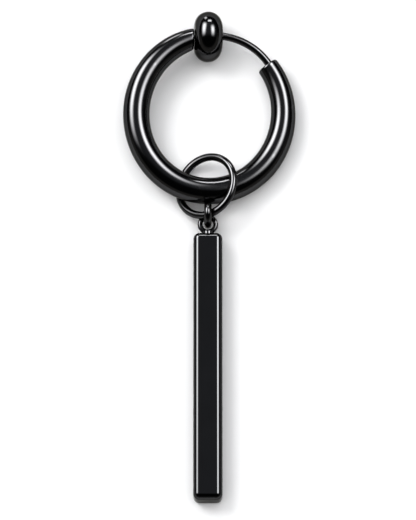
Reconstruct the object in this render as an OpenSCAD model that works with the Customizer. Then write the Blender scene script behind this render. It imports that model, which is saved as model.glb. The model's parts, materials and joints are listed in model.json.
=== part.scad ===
// Bar earring, lying on a flat surface, in millimetres.
// A thick round hoop is closed by a thin sprung wire that carries a bead. The wire slides on its
// own arc into the hoop's tube. A square bar hangs from the hoop by a large and a small ring.
// +Z is up, +Y runs from the bar to the bead, and the hoop's right side is +X.
// The origin is on the surface, below the middle of the whole outline.

/* [Hoop] */
// Half width of the hoop, measured to the middle of the tube
hoop_rx = 7.35; // [7:0.05:8]
// Half height of the hoop, measured to the middle of the tube
hoop_ry = 7.95; // [7.6:0.05:8.2]
// Angle by which the hoop's long axis leans from the bar's line
hoop_slant = -10; // [-16:1:0]
// Thickness of the tube where it is thickest
tube_d = 2.65; // [2.5:0.05:2.8]
// Thickness of the tube at its two ends
tube_end_d = 2.2; // [2.1:0.05:2.4]
// Angle round the hoop at which the tube ends against the bead
seat_angle = 103.6; // [101:0.2:106]
// Angle round the hoop at which the wire enters the tube
mouth_angle = 39.5; // [36:0.5:44]
// Angle over which the tube thickens from its end at the bead
seat_taper = 70; // [50:1:90]
// Angle over which the tube thickens from its open end
mouth_taper = 100; // [80:1:120]
// Rounding of the tube's two rims
rim_r = 0.2; // [0.1:0.05:0.3]

/* [Clasp] */
// Thickness of the sliding wire
wire_d = 0.76; // [0.6:0.02:0.84]
// Radius of the arc that the wire is bent to and slides along
wire_bend_r = 6.4; // [6.3:0.05:7.2]
// How far outside the tube's middle the wire enters its open end
wire_rise = 0.24; // [0.16:0.02:0.36]
// Gap all round between the wire and the hole it slides in
wire_play = 0.06; // [0.04:0.01:0.1]
// Angle of wire that stays inside the tube when the clasp is closed
tail_angle = 17; // [12:1:18]
// Angle through which the clasp opens
travel = 28; // [20:1:28]
// Angle of hole left behind the open wire for its spring
spring_room = 2.5; // [2:0.5:3]
// Diameter of the bead
bead_d = 5.1; // [4.6:0.1:5.6]
// Thickness of the bead along the wire
bead_w = 2.8; // [2.4:0.1:3.2]
// How far the bead's middle stands outside the middle of the tube's end
bead_rise = 0.26; // [0.08:0.02:0.4]
// How far the wire passes outside the bead's middle
wire_lift = 0.08; // [0:0.02:0.2]
// Metal left over the wire's end inside the bead
bead_floor = 0.5; // [0.3:0.05:0.8]
// Gap round the wire's end inside the bead
bead_play = 0.03; // [0.03:0.01:0.06]
// Gap between the closed bead and the tube's end
seat_gap = 0.05; // [0.03:0.01:0.1]

/* [Large ring] */
// Wire thickness of the large ring
ring_wire_d = 0.76; // [0.66:0.02:0.86]
// Free width inside the large ring beyond the tube that it holds
ring_room = 2.75; // [2.65:0.05:2.9]
// Slope of the large ring where it leans over the tube
ring_lean = 30; // [29.5:0.5:33]
// Heading in which the large ring rises
ring_heading = -12; // [-13:1:-8]
// Gap where the large ring's two wire ends meet
ring_seam = 0.04; // [0.02:0.01:0.1]
// Place of that seam round the ring
seam_angle = 62; // [30:1:90]
// Gap between the large ring and the tube that it holds
hoop_play = 0.1; // [0.07:0.01:0.1]

/* [Small ring] */
// Wire thickness of the small ring
link_wire_d = 0.74; // [0.66:0.02:0.8]
// Gap between the small ring and what it holds
link_play = 0.04; // [0.03:0.01:0.08]
// Lean of the small ring from upright, with the large ring over the eye inside it
stack_lean = 0; // [-4:1:8]
// Gap between the small ring and the hoop's tube
tube_play = 0.04; // [0.03:0.01:0.2]

/* [Bar] */
// Width of the bar
bar_w = 2.86; // [2.4:0.02:3.2]
// Thickness of the bar
bar_t = 2.7; // [2.6:0.02:3.2]
// Length of the bar
bar_len = 27; // [20:0.2:34]
// Rounding of the bar's edges and corners
edge_r = 0.6; // [0.4:0.02:0.7]
// Distance of the bar's middle from the hoop's middle, to the side
bar_side = -0.2; // [-0.5:0.05:0]

/* [Eye] */
// Wire thickness of the eye on the bar
eye_wire_d = 0.5; // [0.44:0.02:0.6]
// Free width inside the eye beyond the small ring's wire
eye_play = 0.3; // [0.26:0.02:0.5]
// Length of the neck between the bar's end and the eye
neck_len = 0.08; // [0.08:0.02:0.5]
// Diameter of the neck
neck_d = 1; // [0.9:0.05:1.4]
// Diameter of the shank inside the bar
shank_d = 0.7; // [0.6:0.05:0.8]
// Length of the shank inside the bar
shank_len = 2; // [1:0.1:4]
// Gap between the shank and its hole, and under the neck
shank_play = 0.03; // [0.02:0.01:0.06]

/* [Hidden] */
PLATING = [0.11, 0.11, 0.12];
FLAT_PLATING = [0.13, 0.13, 0.15];
SIDES = 24;
STATIONS = 60;
RIM_STEPS = 3;
ROUND = 72;
overcut = 1;

// Angle of hole that runs on past the tube's open end, so that the cut is clean
mouth_overcut = 6;
// Angle over which the tube's sections turn to meet the bead's flat side squarely
seat_ease = 22;
// Stretch of the large ring that is tested against its neighbours, either way, and the steps of that test
HOLD_REACH = 70;
HOLD_STEP = 2;
FIND_STEP = 0.005;

// Thickness of the tube by the angle round the hoop, from the bead's end to the open end
last_angle = mouth_angle + 360;
function swell(share) = sin(90 * min(1, max(0, share)));
function tube_share(a) = min(swell((a - seat_angle) / seat_taper), swell((last_angle - a) / mouth_taper));
function tube_r(a) = (tube_end_d + (tube_d - tube_end_d) * tube_share(a)) / 2;

// The hoop's middle line, its direction and the length of one degree of it
function leant(p) =
    [p[0] * cos(hoop_slant) - p[1] * sin(hoop_slant), p[0] * sin(hoop_slant) + p[1] * cos(hoop_slant)];
function hoop_point(a) = leant([hoop_rx * cos(a - hoop_slant), hoop_ry * sin(a - hoop_slant)]);
function hoop_run(a) = leant([-hoop_rx * sin(a - hoop_slant), hoop_ry * cos(a - hoop_slant)]);
function hoop_heading(a) = atan2(hoop_run(a)[1], hoop_run(a)[0]);
function hoop_pace(a) = norm(hoop_run(a)) * PI / 180;
hoop_low = norm([hoop_rx * sin(hoop_slant), hoop_ry * cos(hoop_slant)]);

// Seat of the bead, with the bead's flat side upright
seat_point = hoop_point(seat_angle);
seat_turn = hoop_heading(seat_angle) + 180;
bead_x = seat_point[0] + seat_gap + bead_w / 2;
bead_y = seat_point[1] + bead_rise;

// Where the wire enters the tube, and the middle of the arc that joins that place to the bead
mouth_heading = hoop_heading(mouth_angle);
entry = hoop_point(mouth_angle) + wire_rise * [sin(mouth_heading), -cos(mouth_heading)];
in_bead = [bead_x, bead_y + wire_lift];
chord = in_bead - entry;
chord_rise = sqrt(pow(wire_bend_r, 2) - pow(norm(chord) / 2, 2));
pivot = entry + chord / 2 + chord_rise * [-chord[1], chord[0]] / norm(chord);
entry_angle = atan2(entry[1] - pivot[1], entry[0] - pivot[0]);
bead_angle = atan2(in_bead[1] - pivot[1], in_bead[0] - pivot[0]);
wire_end_angle = bead_angle + asin((bead_w / 2 - bead_floor) / wire_bend_r);
wire_tail_angle = entry_angle - tail_angle;
hole_end_angle = wire_tail_angle - travel - spring_room;

// Eye and small ring, along the bar's middle line
eye_hole_d = link_wire_d + eye_play;
eye_mean_r = (eye_hole_d + eye_wire_d) / 2;
eye_y = bar_len + neck_len + eye_mean_r + eye_wire_d / 2;
eye_z = bar_t / 2;
stack_way = [sin(stack_lean), cos(stack_lean)];
eye_far = [eye_y + eye_mean_r, eye_z];

// Large ring, which touches the surface and crosses the bar's middle line at a place in the small ring
ring_hole_d = tube_d + ring_room;
ring_mean_r = (ring_hole_d + ring_wire_d) / 2;
ring_z = ring_wire_d / 2 + ring_mean_r * sin(ring_lean);
ring_up = [cos(ring_heading) * cos(ring_lean), sin(ring_heading) * cos(ring_lean), sin(ring_lean)];
ring_across = [-sin(ring_heading), cos(ring_heading), 0];
function ring_offset(a) = ring_mean_r * (cos(a) * ring_up + sin(a) * ring_across);
function hold_angle(hold) = -acos((hold[1] - ring_z) / (ring_mean_r * sin(ring_lean)));
function ring_place(hold) = [bar_side, hold[0], hold[1]] - ring_offset(hold_angle(hold));
function ring_near(hold) =
    [for (a = [-HOLD_REACH:HOLD_STEP:HOLD_REACH]) ring_place(hold) + ring_offset(hold_angle(hold) + a)];

// The large ring slopes over the curved eye, so it is moved off in small steps until it is clear
function off_eye(p) = norm([norm([p[0] - bar_side, p[1] - eye_y]) - eye_mean_r, p[2] - eye_z]);
function eye_gap(reach) = min([for (p = ring_near(eye_far + reach * stack_way)) off_eye(p)]);
function clear_reach(reach) = eye_gap(reach) >= stack_d ? reach : clear_reach(reach + FIND_STEP);
stack_d = (ring_wire_d + eye_wire_d) / 2 + link_play;
stack_reach = clear_reach(stack_d);
ring_hold = eye_far + stack_reach * stack_way;
ring_at = ring_place(ring_hold);

// Small ring: an oval round the large ring's wire and the eye's. It widens and then lengthens in small
// steps until it is clear of the large ring, which slopes through it.
link_need = (link_wire_d + ring_wire_d) / 2 + link_play;
function link_low(w) = eye_far + (w - (link_wire_d + eye_wire_d) / 2 - link_play) * stack_way;
function off_run(p, from, to) =
    let (share = min(1, max(0, (p - from) * (to - from) / pow(norm(to - from), 2))))
    norm(p - from - share * (to - from));
function off_link(p, w, high) = norm([off_run([p[1], p[2]], link_low(w), high) - w, p[0] - bar_side]);
function link_gap(w, high) = min([for (p = ring_near(ring_hold)) off_link(p, w, high)]);
function clear_w(w) = link_gap(w, ring_hold + 2 * w * stack_way) >= link_need ? w : clear_w(w + FIND_STEP);
function clear_rise(rise) =
    link_gap(link_mean_w, ring_hold + rise * stack_way) >= link_need ? rise : clear_rise(rise + FIND_STEP);
link_mean_w = clear_w(link_need);
link_high = ring_hold + clear_rise(0) * stack_way;
link_at = link_low(link_mean_w);
link_run = norm(link_high - link_at);
link_far = max(link_at[0], link_high[0]) + link_mean_w + link_wire_d / 2;

// The hoop lies on three things: the bead on the surface, and the tube over and under the large ring
hoop_y = link_far + tube_play + tube_d / 2 + hoop_low;
crossing = (ring_wire_d + tube_d) / 2 + hoop_play;
rest_bead = [bead_x, bead_y, bead_d / 2];
rest_over = ring_at + ring_offset(180) + [0, -hoop_y, crossing];
rest_under = ring_at + ring_offset(0) + [0, -hoop_y, -crossing];
rest_normal = cross(rest_over - rest_bead, rest_under - rest_bead);
hoop_slope = [-rest_normal[0] / rest_normal[2], -rest_normal[1] / rest_normal[2]];
hoop_z = rest_bead[2] - hoop_slope[0] * rest_bead[0] - hoop_slope[1] * rest_bead[1];
hoop_pitch = atan(hoop_slope[1]);
hoop_roll = -atan(hoop_slope[0] * cos(hoop_pitch));

// Middle of the outline, which becomes the origin
middle_x = (tube_r(360) - tube_r(180)) / 2;
bead_top = hoop_y + bead_y * cos(hoop_pitch) + bead_x * sin(hoop_roll) * sin(hoop_pitch) + bead_d / 2;
middle_y = bead_top / 2;

// Sections of the tube: each row is an angle round the hoop and how much the rim narrows it there
function rim_in(k) = rim_r * (1 - sin(90 * k / RIM_STEPS));
function rim_down(k) = rim_r * (1 - cos(90 * k / RIM_STEPS));
first_plain = seat_angle + rim_r / hoop_pace(seat_angle);
last_plain = last_angle - rim_r / hoop_pace(last_angle);
seat_rows = [for (k = [RIM_STEPS:-1:1]) [seat_angle + rim_in(k) / hoop_pace(seat_angle), rim_down(k)]];
plain_rows = [for (i = [0:STATIONS]) [first_plain + (last_plain - first_plain) * i / STATIONS, 0]];
mouth_rows = [for (k = [1:RIM_STEPS]) [last_angle - rim_in(k) / hoop_pace(last_angle), rim_down(k)]];
rows = concat(seat_rows, plain_rows, mouth_rows);

function seat_skew(a) = seat_turn * pow(1 - min(1, max(0, (a - first_plain) / seat_ease)), 2);
function section(row) =
    let (a = row[0], heading = hoop_heading(a) - seat_skew(a), p = hoop_point(a), r = tube_r(a) - row[1])
    [for (j = [0:SIDES - 1])
        let (out = r * cos(360 * j / SIDES), up = r * sin(360 * j / SIDES))
        [p[0] + out * sin(heading), p[1] - out * cos(heading), up]];

module swept(sections) {
    count = len(sections);
    points = [for (ring = sections) each ring];
    sides = [for (i = [0:count - 2], j = [0:SIDES - 1])
        let (k = (j + 1) % SIDES)
        [i * SIDES + j, i * SIDES + k, (i + 1) * SIDES + k, (i + 1) * SIDES + j]];
    start = [for (j = [SIDES - 1:-1:0]) j];
    end = [for (j = [0:SIDES - 1]) (count - 1) * SIDES + j];
    polyhedron(points = points, faces = concat([start], sides, [end]), convexity = 6);
}

// Everything is set out with the bar's lower end at the start of Y, then moved to the origin
module on_surface() {
    translate([-middle_x, -middle_y, 0]) children();
}

// Moves what is drawn flat in the hoop's own plane to where the hoop lies
module in_hoop() {
    on_surface() translate([0, hoop_y, hoop_z])
        rotate([hoop_pitch, 0, 0]) rotate([0, hoop_roll, 0]) children();
}

// Round wire bent to the clasp's arc, from one angle to another
module wire_arc(d, from, to) {
    translate([pivot[0], pivot[1], 0]) rotate([0, 0, from])
        rotate_extrude(angle = to - from, $fn = ROUND) translate([wire_bend_r, 0]) circle(d = d, $fn = 32);
}

module closed_ring(mean_r, d) {
    rotate_extrude($fn = ROUND) translate([mean_r, 0]) circle(d = d, $fn = 32);
}

module round_rectangle(w, h, r) {
    square([w - 2 * r, h], center = true);
    square([w, h - 2 * r], center = true);
    for (x = [-1, 1], y = [-1, 1])
        translate([x * (w / 2 - r), y * (h / 2 - r)]) circle(r = r, $fn = 48);
}

module hoop_tube() {
    color(PLATING) in_hoop() difference() {
        swept([for (row = rows) section(row)]);
        wire_arc(wire_d + 2 * wire_play, hole_end_angle, entry_angle + mouth_overcut);
    }
}

module clasp_wire() {
    color(PLATING) in_hoop() wire_arc(wire_d, wire_tail_angle, wire_end_angle);
}

module clasp_bead() {
    flat_r = (bead_d - bead_w) / 2;
    color(PLATING) in_hoop() difference() {
        translate([bead_x, bead_y, 0]) rotate([0, 90, 0]) rotate_extrude($fn = ROUND) {
            translate([0, -bead_w / 2]) square([flat_r, bead_w]);
            intersection() {
                translate([flat_r, 0]) circle(d = bead_w, $fn = 64);
                translate([flat_r, -bead_w / 2]) square([bead_w, bead_w]);
            }
        }
        wire_arc(wire_d + 2 * bead_play, bead_angle - 2 * asin(bead_w / 2 / wire_bend_r),
            wire_end_angle + asin(bead_play / wire_bend_r));
    }
}

module large_ring() {
    seam = 2 * asin(ring_seam / 2 / ring_mean_r);
    color(PLATING) on_surface() translate(ring_at)
        rotate([0, 0, ring_heading]) rotate([0, -ring_lean, 0]) rotate([0, 0, seam_angle + seam / 2])
            rotate_extrude(angle = 360 - seam, $fn = ROUND)
                translate([ring_mean_r, 0]) circle(d = ring_wire_d, $fn = 32);
}

module small_ring() {
    color(PLATING) on_surface() translate([bar_side, link_at[0], link_at[1]])
        rotate([0, 90, 0]) rotate([0, 0, 90 - stack_lean]) {
            for (end = [0, 1])
                translate([0, end * link_run, 0]) rotate([0, 0, end == 1 ? 0 : 180])
                    rotate_extrude(angle = 180, $fn = ROUND)
                        translate([link_mean_w, 0]) circle(d = link_wire_d, $fn = 32);
            for (side = [-1, 1])
                translate([side * link_mean_w, 0, 0]) rotate([-90, 0, 0])
                    cylinder(h = link_run, d = link_wire_d, $fn = 32);
        }
}

module bar_eye() {
    color(PLATING) on_surface() translate([bar_side, 0, eye_z]) {
        translate([0, eye_y, 0]) closed_ring(eye_mean_r, eye_wire_d);
        translate([0, bar_len + shank_play, 0]) rotate([-90, 0, 0])
            cylinder(h = neck_len - shank_play + eye_wire_d / 2, d = neck_d, $fn = 48);
        translate([0, bar_len - shank_len, 0]) rotate([-90, 0, 0])
            cylinder(h = shank_len + neck_len, d = shank_d, $fn = 48);
    }
}

module bar() {
    color(FLAT_PLATING) on_surface() translate([bar_side, bar_len / 2, bar_t / 2]) difference() {
        intersection() {
            linear_extrude(bar_t, center = true) round_rectangle(bar_w, bar_len, edge_r);
            rotate([90, 0, 0]) linear_extrude(bar_len, center = true) round_rectangle(bar_w, bar_t, edge_r);
            rotate([90, 0, 90]) linear_extrude(bar_w, center = true) round_rectangle(bar_len, bar_t, edge_r);
        }
        translate([0, bar_len / 2 - shank_len - shank_play, 0]) rotate([-90, 0, 0])
            cylinder(h = shank_len + shank_play + overcut, d = shank_d + 2 * shank_play, $fn = 48);
    }
}

hoop_tube();
clasp_wire();
clasp_bead();
large_ring();
small_ring();
bar_eye();
bar();
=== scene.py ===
import json
import math

import bmesh
import bpy
from mathutils import Matrix, Vector


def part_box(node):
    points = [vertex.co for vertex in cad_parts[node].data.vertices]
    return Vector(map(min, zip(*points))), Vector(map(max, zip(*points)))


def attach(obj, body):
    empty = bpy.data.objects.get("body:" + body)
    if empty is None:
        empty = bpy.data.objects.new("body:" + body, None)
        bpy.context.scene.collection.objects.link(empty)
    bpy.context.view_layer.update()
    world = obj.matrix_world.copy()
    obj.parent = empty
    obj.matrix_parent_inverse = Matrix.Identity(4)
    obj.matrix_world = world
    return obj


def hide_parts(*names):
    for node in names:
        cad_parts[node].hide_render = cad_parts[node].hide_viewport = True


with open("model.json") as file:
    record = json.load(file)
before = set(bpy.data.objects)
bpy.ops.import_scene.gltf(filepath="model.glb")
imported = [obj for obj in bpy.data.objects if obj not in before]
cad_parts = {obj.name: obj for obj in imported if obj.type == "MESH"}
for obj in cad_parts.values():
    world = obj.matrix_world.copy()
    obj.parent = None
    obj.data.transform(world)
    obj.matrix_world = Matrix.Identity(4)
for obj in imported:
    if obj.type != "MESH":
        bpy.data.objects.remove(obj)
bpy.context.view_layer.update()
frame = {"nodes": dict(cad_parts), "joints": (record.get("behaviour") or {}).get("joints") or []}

MM = 0.001
X_AXIS = Vector((1, 0, 0))
Y_AXIS = Vector((0, 1, 0))
Z_AXIS = Vector((0, 0, 1))

# The sizes below are those that the nodes' boxes don't give. Lengths are in metres, and angles in degrees.

# Hoop: the seat is the tube's end that meets the bead, and the mouth is the end that takes the wire
HOOP_RX = 7.35 * MM  # half widths of the oval middle line
HOOP_RY = 7.95 * MM
HOOP_SLANT = -10
TUBE_D = 2.65 * MM
TUBE_END_D = 2.2 * MM
SEAT_ANGLE = 103.6
MOUTH_ANGLE = 39.5
LAST_ANGLE = MOUTH_ANGLE + 360
SEAT_TAPER = 70  # how far the thinning reaches from each end
MOUTH_TAPER = 100
SEAT_EASE = 22  # how far the tube takes to turn from the seat's upright face into its own run
RIM_R = 0.2 * MM

# Clasp: the bent wire, which slides in the tube's bore, and the bead on its end
WIRE_D = 0.76 * MM
WIRE_BEND_R = 6.4 * MM
WIRE_RISE = 0.24 * MM  # from the mouth's middle outward to the wire
WIRE_LIFT = 0.08 * MM  # from the bead's middle up to the wire
WIRE_PLAY = 0.06 * MM
TAIL_ANGLE = 17  # how far the closed wire reaches into the tube
TRAVEL = 28
SPRING_ROOM = 2.5  # what the bore goes on behind the open wire's tail
BEAD_D = 5.1 * MM
BEAD_W = 2.8 * MM
BEAD_RISE = 0.26 * MM  # from the seat's middle up to the bead's
BEAD_FLOOR = 0.5 * MM  # what is left of the bead behind the wire's end
BEAD_PLAY = 0.03 * MM
SEAT_GAP = 0.05 * MM

# Large ring: how steeply its plane rises from the floor, which way, and where its seam is
RING_WIRE_D = 0.76 * MM
RING_LEAN = 30
RING_HEADING = -12
RING_SEAM = 0.04 * MM
SEAM_ANGLE = 62

# Small ring, the bar's rounded edges, and the eye with its neck and the shank in the bar
LINK_WIRE_D = 0.74 * MM
EDGE_R = 0.6 * MM
EYE_WIRE_D = 0.5 * MM
NECK_D = 1 * MM
SHANK_D = 0.7 * MM
SHANK_LEN = 2 * MM
SHANK_PLAY = 0.03 * MM

# Mesh: sides round each wire or hole, steps along it, and the angle from which an edge is drawn sharp
TUBE_SIDES = 80
TUBE_STEPS = 260
RIM_STEPS = 7
BORE_STEPS = 60
WIRE_SIDES = 48
WIRE_STEPS = 140
BEAD_SIDES = 128
BEAD_RIM_STEPS = 40
HOLE_SIDES = 40
HOLE_STEPS = 30
RING_SIDES = 44
RING_STEPS = 220
HALF_LINK_STEPS = 70
EYE_STEPS = 140
NECK_SIDES = 64
EDGE_STEPS = 14
SHARP_ANGLE = 40

# Camera: how high it stands, how far off, what it looks at, and the photo's scale and height in pixels
CAMERA_ELEVATION = 75
CAMERA_DISTANCE = 450 * MM
CAMERA_NEAR = 10 * MM
CAMERA_FAR = 10
AIM = Vector((-0.14, -0.1, 0.0)) * MM
PIXELS_PER_MM = 10.05
PHOTO_H = 520
SENSOR = 36
RISE = math.radians(CAMERA_ELEVATION)
TO_CAMERA = Vector((0, -math.cos(RISE), math.sin(RISE)))
UP_PICTURE = Vector((0, math.sin(RISE), math.cos(RISE)))

# Plating: its colours, and the tint of its reflections at grazing angles
BLACK = (0.037, 0.037, 0.038)
BAR_BLACK = (0.0365, 0.037, 0.038)
RUBBED = (0.12, 0.12, 0.125, 1)
GRAZING_TINT = (0.45, 0.445, 0.435, 1)
CLOUD_SCALE = 260
CLOUD_DETAIL = 4
CLOUD_TONES = (0.86, 1.14)  # the darkest and the palest cloud, against the colour
RUB_SPAN = (0.53, 0.62)  # how pointed an edge is where the rubbing starts, and where it is full
RUB_SHARE = 0.175
SMEAR_SCALE = 900
SMEAR_DETAIL = 6
SMEAR_TONES = (0.7, 1.3)  # the glossiest and the dullest smear, against the roughness
BUMP_STRENGTH = 0.02
BUMP_DEPTH = 0.02 * MM

# Floor, and the distance of the lamps from the object
FLOOR_REACH = 1.5
FLOOR_DROP = 0.01 * MM
PAPER = (0.9, 0.9, 0.9, 1)
PAPER_ROUGHNESS = 0.9
LAMP_DISTANCE = 0.6

# Room: its colours, and the spans of a direction's Y (beyond, near) or Z (high, low) where they fade in
ROOM_DARK = (0.02, 0.02, 0.022, 1)
ROOM_GREY = (0.29, 0.3, 0.33, 1)
ROOM_PALE = (0.3, 0.285, 0.265, 1)
BEYOND = (-0.3, 0.15)
HIGH = (0.3, 0.75)
NEAR = (0.3, -0.3)
LOW = (0.5, 0.25)


def place_object(name, data):
    """Puts a new object into the scene."""
    thing = bpy.data.objects.new(name, data)
    bpy.context.scene.collection.objects.link(thing)
    return thing


def make_camera():
    """The camera, whose lens fits the photo's height to the stretch of the object that it shows."""
    data = bpy.data.cameras.new("camera")
    data.sensor_width = SENSOR
    data.lens = SENSOR * CAMERA_DISTANCE / (PHOTO_H / PIXELS_PER_MM * MM)
    data.clip_start = CAMERA_NEAR
    data.clip_end = CAMERA_FAR
    camera = place_object("camera", data)
    camera.location = AIM + TO_CAMERA * CAMERA_DISTANCE
    camera.rotation_euler = (math.radians(90 - CAMERA_ELEVATION), 0, 0)
    bpy.context.scene.camera = camera


def add_object(name, bm):
    """Makes an object from the mesh, smooth but for its sharp edges."""
    bmesh.ops.recalc_face_normals(bm, faces=bm.faces)
    for face in bm.faces:
        face.smooth = True
    for edge in bm.edges:
        if len(edge.link_faces) == 2 and edge.calc_face_angle() > math.radians(SHARP_ANGLE):
            edge.smooth = False
    mesh = bpy.data.meshes.new(name)
    bm.to_mesh(mesh)
    bm.free()
    return place_object(name, mesh)


def weigh_normals(piece):
    """Keeps flat faces flat beside the narrow faces of a rounding."""
    weighted = piece.modifiers.new("flat faces", "WEIGHTED_NORMAL")
    weighted.keep_sharp = True


def cut(piece, tool, operation="DIFFERENCE"):
    """Cuts the tool out of the piece, or joins it on, and deletes the tool."""
    boolean = piece.modifiers.new("cut", "BOOLEAN")
    boolean.operation = operation
    boolean.solver = "EXACT"
    boolean.object = tool
    graph = bpy.context.evaluated_depsgraph_get()
    made = bpy.data.meshes.new_from_object(piece.evaluated_get(graph))
    piece.modifiers.remove(boolean)
    bm = bmesh.new()
    bm.from_mesh(made)
    bpy.data.meshes.remove(made)
    for edge in bm.edges:
        edge.smooth = len(edge.link_faces) == 2 and edge.calc_face_angle(0) < math.radians(SHARP_ANGLE)
    bm.to_mesh(piece.data)
    bm.free()
    bpy.data.objects.remove(tool)


def add_ring(bm, middle, out, up, radius, sides):
    """Adds a circle of vertices round a middle, from the direction out towards the direction up."""
    turns = [2 * math.pi * k / sides for k in range(sides)]
    return [bm.verts.new(middle + radius * (math.cos(t) * out + math.sin(t) * up)) for t in turns]


def join_rings(bm, rings, closed=False):
    """Joins rings of vertices with faces, one ring to the next."""
    pairs = list(zip(rings, rings[1:]))
    if closed:
        pairs.append((rings[-1], rings[0]))
    for a, b in pairs:
        for k in range(len(a)):
            m = (k + 1) % len(a)
            bm.faces.new((a[k], a[m], b[m], b[k]))


def cap(bm, ring):
    """Closes a ring of vertices with a fan round its middle."""
    middle = bm.verts.new(sum((v.co for v in ring), Vector()) / len(ring))
    for k in range(len(ring)):
        bm.faces.new((ring[k], ring[(k + 1) % len(ring)], middle))


def join_and_cap(bm, rings):
    """Joins rings of vertices to a rod with closed ends."""
    join_rings(bm, rings)
    cap(bm, rings[0])
    cap(bm, rings[-1])


def swell(share):
    """Rises from 0 to 1, ever more gently, and then stays there."""
    return math.sin(math.pi / 2 * min(1, max(0, share)))


def tube_r(angle):
    """Radius of the hoop's tube, which thickens from both ends."""
    share = min(swell((angle - SEAT_ANGLE) / SEAT_TAPER), swell((LAST_ANGLE - angle) / MOUTH_TAPER))
    return (TUBE_END_D + (TUBE_D - TUBE_END_D) * share) / 2


SLANT = Matrix.Rotation(math.radians(HOOP_SLANT), 3, "Z")


def hoop_point(angle):
    """Point of the hoop's middle line, in the hoop's own plane."""
    a = math.radians(angle - HOOP_SLANT)
    return SLANT @ Vector((HOOP_RX * math.cos(a), HOOP_RY * math.sin(a), 0))


def hoop_run(angle):
    """Step along the hoop's middle line for one radian."""
    a = math.radians(angle - HOOP_SLANT)
    return SLANT @ Vector((-HOOP_RX * math.sin(a), HOOP_RY * math.cos(a), 0))


def hoop_heading(angle):
    """Direction of the hoop's middle line, in degrees."""
    step = hoop_run(angle)
    return math.degrees(math.atan2(step.y, step.x))


def hoop_pace(angle):
    """Length of one degree of the hoop's middle line."""
    return math.radians(hoop_run(angle).length)


def outward(heading):
    """Direction to the right of a heading, which is outward on the hoop."""
    h = math.radians(heading)
    return Vector((math.sin(h), -math.cos(h), 0))


# The bead's place, and the middle of the arc that the wire follows from the bead to the tube's mouth
BEAD_AT = hoop_point(SEAT_ANGLE) + Vector((SEAT_GAP + BEAD_W / 2, BEAD_RISE, 0))
ENTRY = hoop_point(MOUTH_ANGLE) + WIRE_RISE * outward(hoop_heading(MOUTH_ANGLE))
IN_BEAD = BEAD_AT + WIRE_LIFT * Y_AXIS
CHORD = IN_BEAD - ENTRY
CHORD_RISE = math.sqrt(WIRE_BEND_R**2 - (CHORD.length / 2) ** 2)
PIVOT = ENTRY + CHORD / 2 + CHORD_RISE * Vector((-CHORD.y, CHORD.x, 0)) / CHORD.length


def angle_round_pivot(point):
    """Turn of a point on the wire's arc, in degrees."""
    return math.degrees(math.atan2(point.y - PIVOT.y, point.x - PIVOT.x))


# Where the wire and its bore begin and end on that arc
ENTRY_TURN = angle_round_pivot(ENTRY)
BEAD_TURN = angle_round_pivot(IN_BEAD)
WIRE_END = BEAD_TURN + math.degrees(math.asin((BEAD_W / 2 - BEAD_FLOOR) / WIRE_BEND_R))
WIRE_TAIL = ENTRY_TURN - TAIL_ANGLE
BORE_END = WIRE_TAIL - TRAVEL - SPRING_ROOM

# How the hoop lies: the clasp's joint gives its slope and the place of the arc's middle
JOINT = frame["joints"][0]
NORMAL = -Vector(JOINT["axis"]).normalized()
SLOPE_ALONG = Matrix.Rotation(math.atan2(-NORMAL.y, NORMAL.z), 3, "X")
SLOPE_ACROSS = Matrix.Rotation(math.asin(NORMAL.x), 3, "Y")
HOOP_TURN = SLOPE_ALONG @ SLOPE_ACROSS
HOOP_MIDDLE = Vector(JOINT["pos_m"]) - HOOP_TURN @ PIVOT


def lay_in_hoop(verts):
    """Moves vertices from the hoop's own plane to where the hoop lies."""
    for vert in verts:
        vert.co = HOOP_MIDDLE + HOOP_TURN @ vert.co


def arc_rings(bm, radius, start, end, steps, sides):
    """Adds the rings of a round wire along the clasp's arc, from one turn to another."""
    rings = []
    for i in range(steps + 1):
        t = math.radians(start + (end - start) * i / steps)
        out = Vector((math.cos(t), math.sin(t), 0))
        rings.append(add_ring(bm, PIVOT + WIRE_BEND_R * out, out, Z_AXIS, radius, sides))
    return rings


def arc_rod(radius, start, end, steps, sides):
    """A round rod along the clasp's arc."""
    bm = bmesh.new()
    join_and_cap(bm, arc_rings(bm, radius, start, end, steps, sides))
    return bm


def rim_rows(end, way):
    """Rows of angle and narrowing along a rim's rounding, from the plain tube towards the flat end."""
    rows = []
    for k in range(RIM_STEPS):
        t = math.pi / 2 * k / RIM_STEPS
        rows.append((end + way * RIM_R * (1 - math.sin(t)) / hoop_pace(end), RIM_R * (1 - math.cos(t))))
    return rows


def make_hoop_tube():
    """The hoop's tube, bored along the wire's arc from its mouth."""
    bm = bmesh.new()
    seat_turn = hoop_heading(SEAT_ANGLE) + 180
    first = SEAT_ANGLE + RIM_R / hoop_pace(SEAT_ANGLE)
    last = LAST_ANGLE - RIM_R / hoop_pace(LAST_ANGLE)
    rows = rim_rows(SEAT_ANGLE, 1)[::-1]
    rows += [(first + (last - first) * i / TUBE_STEPS, 0) for i in range(TUBE_STEPS + 1)]
    rows += rim_rows(LAST_ANGLE, -1)
    rings = []
    for angle, narrowing in rows:
        skew = seat_turn * (1 - min(1, max(0, (angle - first) / SEAT_EASE))) ** 2
        out = outward(hoop_heading(angle) - skew)
        rings.append(add_ring(bm, hoop_point(angle), out, Z_AXIS, tube_r(angle) - narrowing, TUBE_SIDES))
    join_rings(bm, rings)
    cap(bm, rings[0])

    bore = arc_rings(bm, WIRE_D / 2 + WIRE_PLAY, ENTRY_TURN, BORE_END, BORE_STEPS, TUBE_SIDES)
    join_rings(bm, [rings[-1], *bore])
    cap(bm, bore[-1])
    lay_in_hoop(bm.verts)
    piece = add_object("hoop_tube_skin", bm)
    weigh_normals(piece)
    return piece


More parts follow.
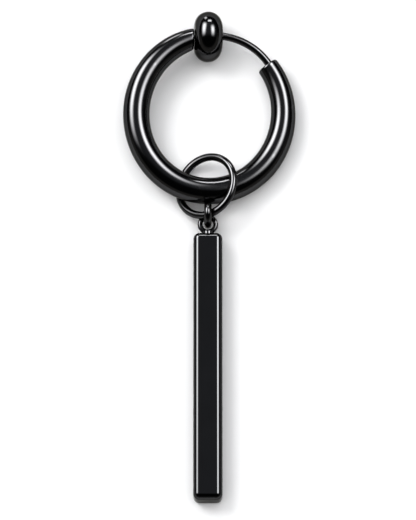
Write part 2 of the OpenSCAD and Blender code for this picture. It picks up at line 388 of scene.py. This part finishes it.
def make_clasp_wire():
    """The bent wire, from its tail in the tube to its end in the bead."""
    bm = arc_rod(WIRE_D / 2, WIRE_TAIL, WIRE_END, WIRE_STEPS, WIRE_SIDES)
    lay_in_hoop(bm.verts)
    return add_object("clasp_wire_skin", bm)


def make_clasp_bead():
    """The bead: a wheel with flat sides and a round rim, bored part of the way for the wire."""
    bm = bmesh.new()
    flat_r = (BEAD_D - BEAD_W) / 2
    rings = []
    for k in range(BEAD_RIM_STEPS + 1):
        t = math.pi * (k / BEAD_RIM_STEPS - 0.5)
        middle = BEAD_AT + BEAD_W / 2 * math.sin(t) * X_AXIS
        rings.append(add_ring(bm, middle, Y_AXIS, Z_AXIS, flat_r + BEAD_W / 2 * math.cos(t), BEAD_SIDES))
    join_and_cap(bm, rings)
    piece = add_object("clasp_bead_skin", bm)
    mouth = BEAD_TURN - 2 * math.degrees(math.asin(BEAD_W / 2 / WIRE_BEND_R))
    floor = WIRE_END + math.degrees(math.asin(BEAD_PLAY / WIRE_BEND_R))
    hole = arc_rod(WIRE_D / 2 + BEAD_PLAY, mouth, floor, HOLE_STEPS, HOLE_SIDES)
    cut(piece, add_object("tool", hole))
    lay_in_hoop(piece.data.vertices)
    weigh_normals(piece)
    return piece


def wire_ring(name, middle, out, up, mean_r, wire_r, steps, start=0, stretch=360):
    """A round wire bent to a ring, whole, or with a seam where its two flat ends meet."""
    bm = bmesh.new()
    side = out.cross(up)
    whole = stretch >= 360
    rings = []
    for i in range(steps if whole else steps + 1):
        t = math.radians(start + stretch * i / steps)
        way = math.cos(t) * out + math.sin(t) * up
        rings.append(add_ring(bm, middle + mean_r * way, way, side, wire_r, RING_SIDES))
    if whole:
        join_rings(bm, rings, closed=True)
    else:
        join_and_cap(bm, rings)
    return add_object(name, bm)


def make_large_ring():
    """The leaning open ring, which takes its place and its size from its node's box."""
    low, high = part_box("large_ring")
    lean = math.radians(RING_LEAN)
    heading = math.radians(RING_HEADING)
    up = Vector((math.cos(heading) * math.cos(lean), math.sin(heading) * math.cos(lean), math.sin(lean)))
    across = Vector((-math.sin(heading), math.cos(heading), 0))
    mean_r = (high.z - low.z - RING_WIRE_D) / 2 / math.sin(lean)
    seam = math.degrees(2 * math.asin(RING_SEAM / 2 / mean_r))
    return wire_ring("large_ring_skin", (low + high) / 2, up, across, mean_r, RING_WIRE_D / 2, RING_STEPS,
                     SEAM_ANGLE + seam / 2, 360 - seam)


def make_small_ring():
    """The upright oval ring: two half circles joined by two straight runs."""
    low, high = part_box("small_ring")
    middle = (low + high) / 2
    mean_w = (high.y - low.y - LINK_WIRE_D) / 2
    half_run = (high.z - low.z - LINK_WIRE_D) / 2 - mean_w
    bm = bmesh.new()
    rings = []
    for first, rise in ((0, half_run), (HALF_LINK_STEPS, -half_run)):
        for k in range(first, first + HALF_LINK_STEPS + 1):
            t = math.pi * k / HALF_LINK_STEPS
            way = math.cos(t) * Y_AXIS + math.sin(t) * Z_AXIS
            centre = middle + rise * Z_AXIS + mean_w * way
            rings.append(add_ring(bm, centre, way, X_AXIS, LINK_WIRE_D / 2, RING_SIDES))
    join_rings(bm, rings, closed=True)
    return add_object("small_ring_skin", bm)


def rod_along_y(middle, rows, sides):
    """A round rod along Y through a middle, from rows of its place on Y and its radius there."""
    bm = bmesh.new()
    rings = [add_ring(bm, Vector((middle.x, y, middle.z)), X_AXIS, Z_AXIS, r, sides) for y, r in rows]
    join_and_cap(bm, rings)
    return bm


def make_bar():
    """The bar, with rounded edges and the hole for the eye's shank."""
    low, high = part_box("bar")
    middle = (low + high) / 2
    bm = bmesh.new()
    bmesh.ops.create_cube(bm, size=1)
    for vert in bm.verts:
        vert.co = middle + vert.co * (high - low)
    bmesh.ops.bevel(bm, geom=list(bm.edges), offset=EDGE_R, offset_type="OFFSET", segments=EDGE_STEPS,
                    profile=0.5, affect="EDGES", clamp_overlap=True)
    piece = add_object("bar_skin", bm)
    hole_r = SHANK_D / 2 + SHANK_PLAY
    rows = [(high.y - SHANK_LEN - SHANK_PLAY, hole_r), (high.y + MM, hole_r)]
    cut(piece, add_object("tool", rod_along_y(middle, rows, HOLE_SIDES)))
    weigh_normals(piece)
    return piece


def make_bar_eye():
    """The eye with its neck and the shank that goes into the bar."""
    bar_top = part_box("bar")[1].y
    low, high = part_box("bar_eye")
    mean_r = (high.x - low.x - EYE_WIRE_D) / 2
    middle = Vector(((low.x + high.x) / 2, high.y - mean_r - EYE_WIRE_D / 2, (low.z + high.z) / 2))
    eye = wire_ring("bar_eye_skin", middle, X_AXIS, Y_AXIS, mean_r, EYE_WIRE_D / 2, EYE_STEPS)
    rows = [
        (bar_top - SHANK_LEN, SHANK_D / 2),
        (bar_top + SHANK_PLAY, SHANK_D / 2),
        (bar_top + SHANK_PLAY, NECK_D / 2),
        (middle.y - mean_r, NECK_D / 2),
    ]
    cut(eye, add_object("tool", rod_along_y(middle, rows, NECK_SIDES)), "UNION")
    weigh_normals(eye)
    return eye


def noise(tree, place, scale, detail):
    """A cloudy pattern from 0 to 1 over the surface."""
    cloud =tree.nodes.new("ShaderNodeTexNoise")
    cloud.inputs["Scale"].default_value = scale
    cloud.inputs["Detail"].default_value = detail
    tree.links.new(place, cloud.inputs["Vector"])
    return cloud.outputs["Fac"]


def map_range(tree, value, source, target=(0, 1)):
    """A node that carries a value from one span over to another."""
    ramp = tree.nodes.new("ShaderNodeMapRange")
    ramp.inputs["From Min"].default_value, ramp.inputs["From Max"].default_value = source
    ramp.inputs["To Min"].default_value, ramp.inputs["To Max"].default_value = target
    tree.links.new(value, ramp.inputs["Value"])
    return ramp


def fade(tree, value, span):
    """Goes smoothly from 0 at the span's first value to 1 at its second, which may be the lower one."""
    ramp = map_range(tree, value, span)
    ramp.interpolation_type = "SMOOTHSTEP"
    return ramp.outputs["Result"]


def product(tree, first, second):
    """Multiplies two nodes' outputs."""
    multiply =tree.nodes.new("ShaderNodeMath")
    multiply.operation = "MULTIPLY"
    tree.links.new(first, multiply.inputs[0])
    tree.links.new(second, multiply.inputs[1])
    return multiply.outputs["Value"]


def mix_colours(tree, share, first, second):
    """Mixes two colours by a share of the second. The first may be another node's output."""
    mix = tree.nodes.new("ShaderNodeMix")
    mix.data_type = "RGBA"
    mix.inputs["B"].default_value = second
    tree.links.new(share, mix.inputs["Factor"])
    if isinstance(first, tuple):
        mix.inputs["A"].default_value = first
    else:
        tree.links.new(first, mix.inputs["A"])
    return mix.outputs["Result"]


def split(tree, vector):
    """The outputs X, Y and Z of a vector."""
    parts = tree.nodes.new("ShaderNodeSeparateXYZ")
    tree.links.new(vector, parts.inputs["Vector"])
    return parts.outputs


def plating(name, colour, roughness):
    """Polished black plating: a dark mirror with faint clouds, fine smears and paler rubbed edges."""
    material = bpy.data.materials.new(name)
    material.use_nodes = True
    tree = material.node_tree
    shader = tree.nodes["Principled BSDF"]
    shader.inputs["Metallic"].default_value = 1
    shader.inputs["Specular Tint"].default_value = GRAZING_TINT

    place = tree.nodes.new("ShaderNodeTexCoord").outputs["Object"]
    dark, pale = [(*[tone * c for c in colour], 1) for tone in CLOUD_TONES]
    clouded = mix_colours(tree, noise(tree, place, CLOUD_SCALE, CLOUD_DETAIL), dark, pale)
    pointed = tree.nodes.new("ShaderNodeNewGeometry").outputs["Pointiness"]
    rub = map_range(tree, pointed, RUB_SPAN, (0, RUB_SHARE)).outputs["Result"]
    tree.links.new(mix_colours(tree, rub, clouded, RUBBED), shader.inputs["Base Color"])

    smears = noise(tree, place, SMEAR_SCALE, SMEAR_DETAIL)
    dullness = map_range(tree, smears, (0, 1), [tone * roughness for tone in SMEAR_TONES])
    tree.links.new(dullness.outputs["Result"], shader.inputs["Roughness"])
    bump = tree.nodes.new("ShaderNodeBump")
    bump.inputs["Strength"].default_value = BUMP_STRENGTH
    bump.inputs["Distance"].default_value = BUMP_DEPTH
    tree.links.new(smears, bump.inputs["Height"])
    tree.links.new(bump.outputs["Normal"], shader.inputs["Normal"])
    return material


def dress():
    """Makes each piece, gives it and the node it stands in for its plating, hides that node, and hangs the
    piece on what it moves with.
    """
    hoop_black = plating("hoop plating", BLACK, roughness=0.12)
    clasp_black = plating("clasp plating", BLACK, roughness=0.1)
    ring_black = plating("ring plating", BLACK, roughness=0.12)
    bar_black = plating("bar plating", BAR_BLACK, roughness=0.1)
    pieces = [
        (make_hoop_tube(), "hoop_tube", "hoop", "hoop_plating", hoop_black),
        (make_clasp_wire(), "clasp_wire", "clasp", "clasp_plating", clasp_black),
        (make_clasp_bead(), "clasp_bead", "clasp", "clasp_plating", clasp_black),
        (make_large_ring(), "large_ring", "hoop", "ring_plating", ring_black),
        (make_small_ring(), "small_ring", "hoop", "ring_plating", ring_black),
        (make_bar_eye(), "bar_eye", "hoop", "ring_plating", ring_black),
        (make_bar(), "bar", "hoop", "bar_plating", bar_black),
    ]
    for piece, node, body, slot, material in pieces:
        piece.data.materials.clear()
        piece.data.materials.append(material)
        frame["nodes"][node].data.materials.clear()
        frame["nodes"][node].data.materials.append(material)
        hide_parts(node)
        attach(piece, body)


def direction(across, along):
    """World direction at two angles from the way to the camera: to the right of it and up the picture."""
    spread = math.radians(math.hypot(across, along))
    turn = math.atan2(along, across)
    sideways = math.cos(turn) * X_AXIS + math.sin(turn) * UP_PICTURE
    return math.cos(spread) * TO_CAMERA + math.sin(spread) * sideways


def lamp(name, away, size, power):
    """An area light that looks at the object from a direction, with its upper side up the picture."""
    data = bpy.data.lights.new(name, "AREA")
    data.shape = "RECTANGLE"
    data.size, data.size_y = size
    data.energy = power
    light = place_object(name, data)
    side = Y_AXIS.cross(away).normalized()
    light.location = away * LAMP_DISTANCE
    light.rotation_mode = "QUATERNION"
    light.rotation_quaternion = Matrix((side, away.cross(side), away)).transposed().to_quaternion()
    light.visible_camera = False
    return light


def softbox(name, across, along, width, height, glow, side=0.25, top=0.25, tail=0.25):
    """A softbox that only shows in reflections, and fades out over shares of its width and height."""
    size = [2 * LAMP_DISTANCE * math.tan(math.radians(angle / 2)) for angle in (width, height)]
    light = lamp(name, direction(across, along), size, math.pi * size[0] * size[1] * glow)
    light.visible_diffuse = False
    light.data.use_nodes = True
    tree = light.data.node_tree
    place = split(tree, tree.nodes.new("ShaderNodeNewGeometry").outputs["Parametric"])
    level = fade(tree, place["X"], (0, side))
    for axis, span in (("X", (1, 1 - side)), ("Y", (0, tail)), ("Y", (1, 1 - top))):
        level = product(tree, level, fade(tree, place[axis], span))
    tree.links.new(level, tree.nodes["Emission"].inputs["Strength"])


def floor_lamp(name, across, along, size, power):
    """A lamp that lights the floor and casts the soft shadows, but does not show in reflections."""
    light = lamp(name, direction(across, along), (size, size), power)
    light.visible_glossy = False


def make_floor():
    """A sheet of white paper just under the object."""
    bm = bmesh.new()
    bmesh.ops.create_grid(bm, x_segments=1, y_segments=1, size=FLOOR_REACH)
    for vert in bm.verts:
        vert.co.z = -FLOOR_DROP
    floor = add_object("floor", bm)
    paper = bpy.data.materials.new("white paper")
    paper.use_nodes = True
    shader = paper.node_tree.nodes["Principled BSDF"]
    shader.inputs["Base Color"].default_value = PAPER
    shader.inputs["Roughness"].default_value = PAPER_ROUGHNESS
    shader.inputs["Specular IOR Level"].default_value = 0
    floor.data.materials.append(paper)


def make_room():
    """A dark room that is grey high up beyond the object and pale low down on the near side."""
    world = bpy.data.worlds.new("room")
    world.use_nodes = True
    tree = world.node_tree
    way = split(tree, tree.nodes.new("ShaderNodeTexCoord").outputs["Generated"])
    overhead = product(tree, fade(tree, way["Y"], BEYOND), fade(tree, way["Z"], HIGH))
    horizon = product(tree, fade(tree, way["Z"], LOW), fade(tree, way["Y"], NEAR))
    grey = mix_colours(tree, overhead, ROOM_DARK, ROOM_GREY)
    tree.links.new(mix_colours(tree, horizon, grey, ROOM_PALE), tree.nodes["Background"].inputs["Color"])
    bpy.context.scene.world = world


def make_studio():
    """The floor, the room and the lamps, whose places and boxes are in degrees as seen from the object."""
    make_floor()
    make_room()
    softbox("left box", across=-42, along=38, width=42, height=64, glow=31, side=0.48, top=0.3, tail=0.55)
    softbox("right box", across=31, along=31, width=38, height=58, glow=30, side=0.48, top=0.4, tail=0.58)
    softbox("top left strip", across=-30, along=98, width=26, height=14, glow=16)
    softbox("top right strip", across=6, along=78, width=26, height=13, glow=22)
    floor_lamp("floor key", across=-34, along=34, size=0.25, power=1.5)
    floor_lamp("floor fill", across=-4, along=18, size=1.2, power=7.1)


bpy.context.scene.view_settings.view_transform = "Standard"
make_camera()
dress()
make_studio()
